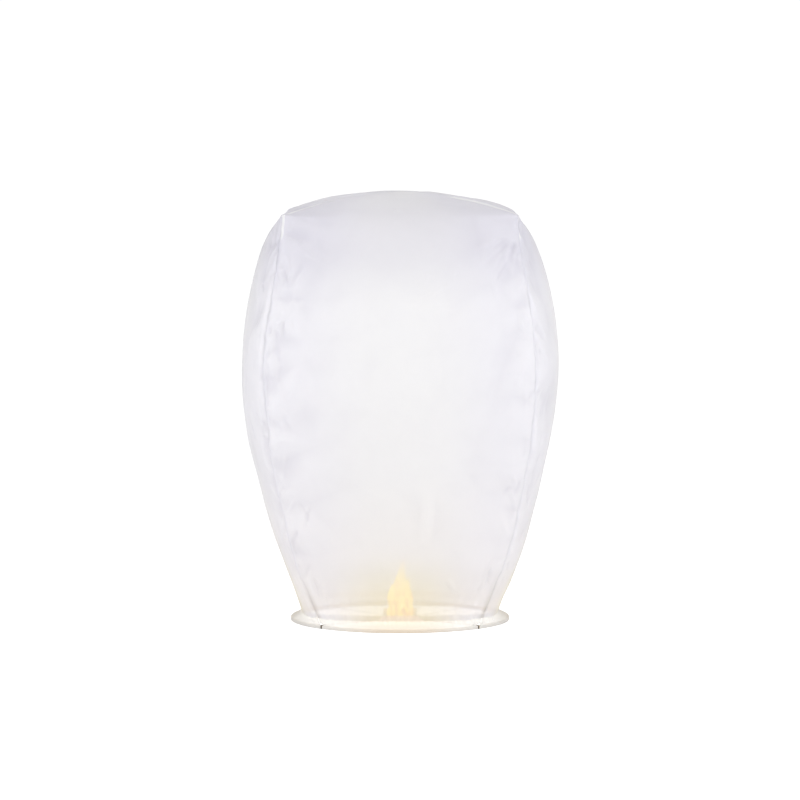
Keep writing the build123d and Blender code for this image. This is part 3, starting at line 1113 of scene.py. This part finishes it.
def fuel_sheet(number):
    """One waxed sheet: a closed, slightly curled square with a hole for the pin."""
    node = f"fuel_sheet_{number}"
    low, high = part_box(node)
    rng = np.random.RandomState(90 + number)
    twist = math.radians(rng.uniform(-2.0, 2.0))
    half = high.x - rng.uniform(0.3, 1.1) * MM
    turns = [2 * math.pi * spoke / SHEET_SPOKES for spoke in range(SHEET_SPOKES)]
    rims = [square_reach(turn, half, CORNER) for turn in turns]
    rags = [
        RAGGED * noise.noise(Vector((9 * math.cos(turn), 9 * math.sin(turn), number)))
        for turn in turns
    ]
    points = []

    def add_ring(share, level):
        for turn, rim, rag in zip(turns, rims, rags):
            reach = HOLE + (rim - HOLE + rag) * share - EDGE_ROUNDING * (share == 1.0)
            x, y = reach * math.cos(turn + twist), reach * math.sin(turn + twist)
            wave = WAVE * noise.noise(Vector((x * 70, y * 70, 3 * number)))
            points.append((x, y, level + wave))

    shares = [ring / SHEET_RINGS for ring in range(SHEET_RINGS + 1)]
    for share in shares:
        add_ring(share, low.z + FACE_INSET)
    for turn, rim, rag in zip(turns, rims, rags):
        x, y = (rim + rag) * math.cos(turn + twist), (rim + rag) * math.sin(turn + twist)
        points.append((x, y, (low.z + high.z) / 2))
    for share in reversed(shares):
        add_ring(share, high.z - FACE_INSET)
    ring_count = len(points) // SHEET_SPOKES
    faces = grid_faces(ring_count, SHEET_SPOKES, closed=True)
    last = (ring_count - 1) * SHEET_SPOKES
    for i in range(SHEET_SPOKES):
        k = (i + 1) % SHEET_SPOKES
        faces.append((last + i, last + k, k, i))
    faces = [tuple(reversed(face)) for face in faces]
    piece = new_piece(f"waxed_sheet_{number}", points, faces, waxed)
    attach(piece, "fuel_cell")
    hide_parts(node)


for number in range(1, SHEETS + 1):
    fuel_sheet(number)

# --- Flame -----------------------------------------------------------------------------------

FLAME_TALL = 84.0 * MM
FLAME_TONES = [
    (0.41, (0.60, 0.17, 0.01)),
    (0.47, (1.0, 0.52, 0.02)),
    (0.54, (1.0, 0.80, 0.05)),
    (0.72, (1.0, 0.74, 0.05)),
    (0.86, (1.0, 0.44, 0.03)),
]


def flame_finish():
    """Burning wax: yellow, with orange licks between and at the tips."""
    material, tree = blank_material("flame")
    where = object_place(tree)
    height = fade(tree, axes(tree, where)[2], CELL_TOP, CELL_TOP + FLAME_TALL, shape="LINEAR")
    drawn_up = place(tree, "ShaderNodeMapping", Scale=(1.0, 1.0, 0.35))
    join(tree, drawn_up.inputs["Vector"], where)
    licks = clouds(tree, drawn_up.outputs["Vector"], 105.0, Detail=2.0, Distortion=1.2)
    rising = reckon(tree, "MULTIPLY", height, 0.22)
    heat = reckon(tree, "ADD", licks.outputs["Fac"], rising)
    face = place(
        tree, "ShaderNodeBsdfPrincipled", Base_Color=(0.25, 0.12, 0.03, 1), Roughness=1.0,
        Specular_IOR_Level=0.0, Emission_Strength=1.45,
    )
    join(tree, face.inputs["Emission Color"], ramp(tree, heat, FLAME_TONES))
    show(tree, face)
    return material


TONGUE_SPOKES, TONGUE_RINGS = 28, 26
# Each tongue, in millimetres: (middle x, middle y, foot z, tip x, tip y, height, half width)
TONGUES = (
    (1.0, 0.0, -1.0, 5.0, 0.0, 95.0, 13.0),
    (-12.0, -3.0, -1.0, -15.0, -3.0, 49.0, 9.5),
    (13.0, -5.0, -1.0, 15.0, -5.0, 62.0, 9.0),
    (-3.0, -12.0, -1.0, -7.0, -11.0, 64.0, 9.0),
    (5.0, 11.0, -1.0, 2.0, 11.0, 58.0, 10.0),
    (-15.0, -31.0, -13.0, -9.0, -22.0, 46.0, 8.5),
    (2.0, -32.0, -13.0, 4.0, -22.0, 58.0, 9.5),
    (17.0, -31.0, -13.0, 12.0, -20.0, 42.0, 8.0),
    (-8.0, 31.0, -13.0, -5.0, 20.0, 50.0, 9.0),
    (11.0, 31.0, -13.0, 8.0, 20.0, 44.0, 9.0),
)


def tongue(x, y, foot, tip_x, tip_y, tall, half_wide, points, faces):
    """One tongue of flame: a drop drawn up to a bent, wavering tip."""
    spokes, rings = TONGUE_SPOKES, TONGUE_RINGS
    start = len(points)
    points.append((x * MM, y * MM, CELL_TOP + foot * MM))
    for ring in range(1, rings):
        share = ring / rings
        swell = math.sin(math.pi * min(share * 1.6, 1.0) ** 0.75 * 0.5) if share < 0.625 else 1.0
        taper = 1.0 if share < 0.3 else max(1 - ((share - 0.3) / 0.7) ** 1.35, 0.0)
        reach = half_wide * MM * (0.62 + 0.38 * swell) * taper * min(1.0, share * 9)
        lean = share**1.6
        sway = 1.8 * math.sin(share * 7 + x) * share
        cx = (x + (tip_x - x) * lean + sway) * MM
        cy = (y + (tip_y - y) * lean) * MM
        z = CELL_TOP + (foot + tall * share) * MM
        for spoke in range(spokes):
            turn = 2 * math.pi * spoke / spokes
            lobe = 1 + 0.13 * math.sin(3 * turn + 5 * share + x)
            lobe += 0.07 * math.sin(5 * turn - 7 * share)
            wide = reach * lobe
            points.append((cx + wide * math.cos(turn), cy + wide * math.sin(turn), z))
    points.append((tip_x * MM, tip_y * MM, CELL_TOP + (foot + tall) * MM))
    faces += [(start, start + 1 + (i + 1) % spokes, start + 1 + i) for i in range(spokes)]
    faces += grid_faces(rings - 1, spokes, start + 1, closed=True)
    top = len(points) - 1
    last = top - spokes
    faces += [(last + i, last + (i + 1) % spokes, top) for i in range(spokes)]


def solid_of(piece, voxel, rounds):
    """The piece's overlapping shells joined into one smooth skin."""
    remesh = piece.modifiers.new("joined", "REMESH")
    remesh.mode = "VOXEL"
    remesh.voxel_size = voxel
    smooth = piece.modifiers.new("smoothed", "SMOOTH")
    smooth.iterations = rounds
    smooth.factor = 0.5
    bpy.context.view_layer.update()
    shown = piece.evaluated_get(bpy.context.evaluated_depsgraph_get())
    mesh = bpy.data.meshes.new_from_object(shown)
    piece.modifiers.clear()
    piece.data = mesh
    mesh.shade_smooth()


flame_points, flame_faces = [], []
for each in TONGUES:
    tongue(*each, flame_points, flame_faces)
flame_fire = flame_finish()
flame = new_piece("flame", flame_points, flame_faces, flame_fire)
solid_of(flame, voxel=1.2 * MM, rounds=2)
flame.data.materials.clear()
flame.data.materials.append(flame_fire)
flame.visible_shadow = False
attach(flame, "fuel_cell")
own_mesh(flame)

# --- Stage, lights and camera ----------------------------------------------------------------

FLOOR_HALF = 30.0
FLOOR_GLOW, FLOOR_SEEN_GLOW = 0.10, 0.55


def floor_finish():
    """Plain white paper sweep, brighter to the eye than to the lantern."""
    material, tree = blank_material("white sweep")
    sweep = place(
        tree, "ShaderNodeBsdfPrincipled", Base_Color=(0.8, 0.8, 0.8, 1), Roughness=0.9,
        Specular_IOR_Level=0.0, Emission_Color=(1, 1, 1, 1),
    )
    seen = tree.nodes.new("ShaderNodeLightPath").outputs["Is Camera Ray"]
    lit = reckon(tree, "MULTIPLY_ADD", seen, FLOOR_SEEN_GLOW, FLOOR_GLOW)
    join(tree, sweep.inputs["Emission Strength"], lit)
    show(tree, sweep)
    return material


corners = [(-1, -1), (1, -1), (1, 1), (-1, 1)]
floor_points = [(x * FLOOR_HALF, y * FLOOR_HALF, 0) for x, y in corners]
floor = new_piece("studio_floor", floor_points, [(0, 1, 2, 3)], floor_finish())

world = bpy.data.worlds.new("studio")
bpy.context.scene.world = world
world.use_nodes = True
sky = world.node_tree
sky.nodes.clear()
seen = place(sky, "ShaderNodeBackground", Color=(1, 1, 1, 1), Strength=1.05)
fill = place(sky, "ShaderNodeBackground", Color=(0.975, 0.995, 1.0, 1), Strength=0.575)
choose = sky.nodes.new("ShaderNodeMixShader")
join(sky, choose.inputs[0], sky.nodes.new("ShaderNodeLightPath").outputs["Is Camera Ray"])
join(sky, choose.inputs[1], fill.outputs[0])
join(sky, choose.inputs[2], seen.outputs[0])
join(sky, sky.nodes.new("ShaderNodeOutputWorld").inputs["Surface"], choose.outputs[0])


def new_lamp(name, kind, watts, colour, at):
    lamp = bpy.data.objects.new(name, bpy.data.lights.new(name, kind))
    lamp.data.energy = watts
    lamp.data.color = colour
    lamp.location = at
    bpy.context.scene.collection.objects.link(lamp)
    return lamp


def turn_to(thing, target):
    """Turns a lamp or camera to face a point."""
    way = Vector(target) - thing.location
    thing.rotation_euler = way.to_track_quat("-Z", "Y").to_euler()


BAG_MIDDLE, BAG_UPPER = (0, 0, 0.35), (0, 0, 0.6)
COOL_WHITE = (0.97, 0.98, 1.0)
for name, at, target, wide, watts, colour in (
    ("front_softbox", (-0.35, -4.4, 1.2), BAG_MIDDLE, 1.1, 55, (1.0, 1.0, 0.985)),
    ("left_softbox", (-3.6, -0.7, 0.8), BAG_MIDDLE, 1.6, 33, COOL_WHITE),
    ("right_softbox", (3.6, -0.7, 0.8), BAG_MIDDLE, 1.6, 39, COOL_WHITE),
    ("top_softbox", (0.3, -2.0, 3.6), BAG_UPPER, 1.5, 30, (0.98, 0.99, 1.0)),
):
    softbox = new_lamp(name, "AREA", watts, colour, at)
    softbox.data.shape = "DISK"
    softbox.data.size = wide
    turn_to(softbox, target)

glow = new_lamp("flame_glow", "POINT", 0.20, (1.0, 0.74, 0.40), (0, 0, CELL_TOP + 45 * MM))
glow.data.shadow_soft_size = 20 * MM

CAMERA_AWAY = 6.5
CAMERA_UP = 0.8485
AIM_Z = 0.3838
lens = bpy.data.cameras.new("camera")
lens.sensor_width = 36.0
lens.angle = math.radians(12.2)
lens.clip_end = 200
camera = bpy.data.objects.new("camera", lens)
camera.location = (0, -CAMERA_AWAY, CAMERA_UP)
turn_to(camera, (0, 0, AIM_Z))
bpy.context.scene.collection.objects.link(camera)
bpy.context.scene.camera = camera
bpy.context.scene.view_settings.view_transform = "Standard"
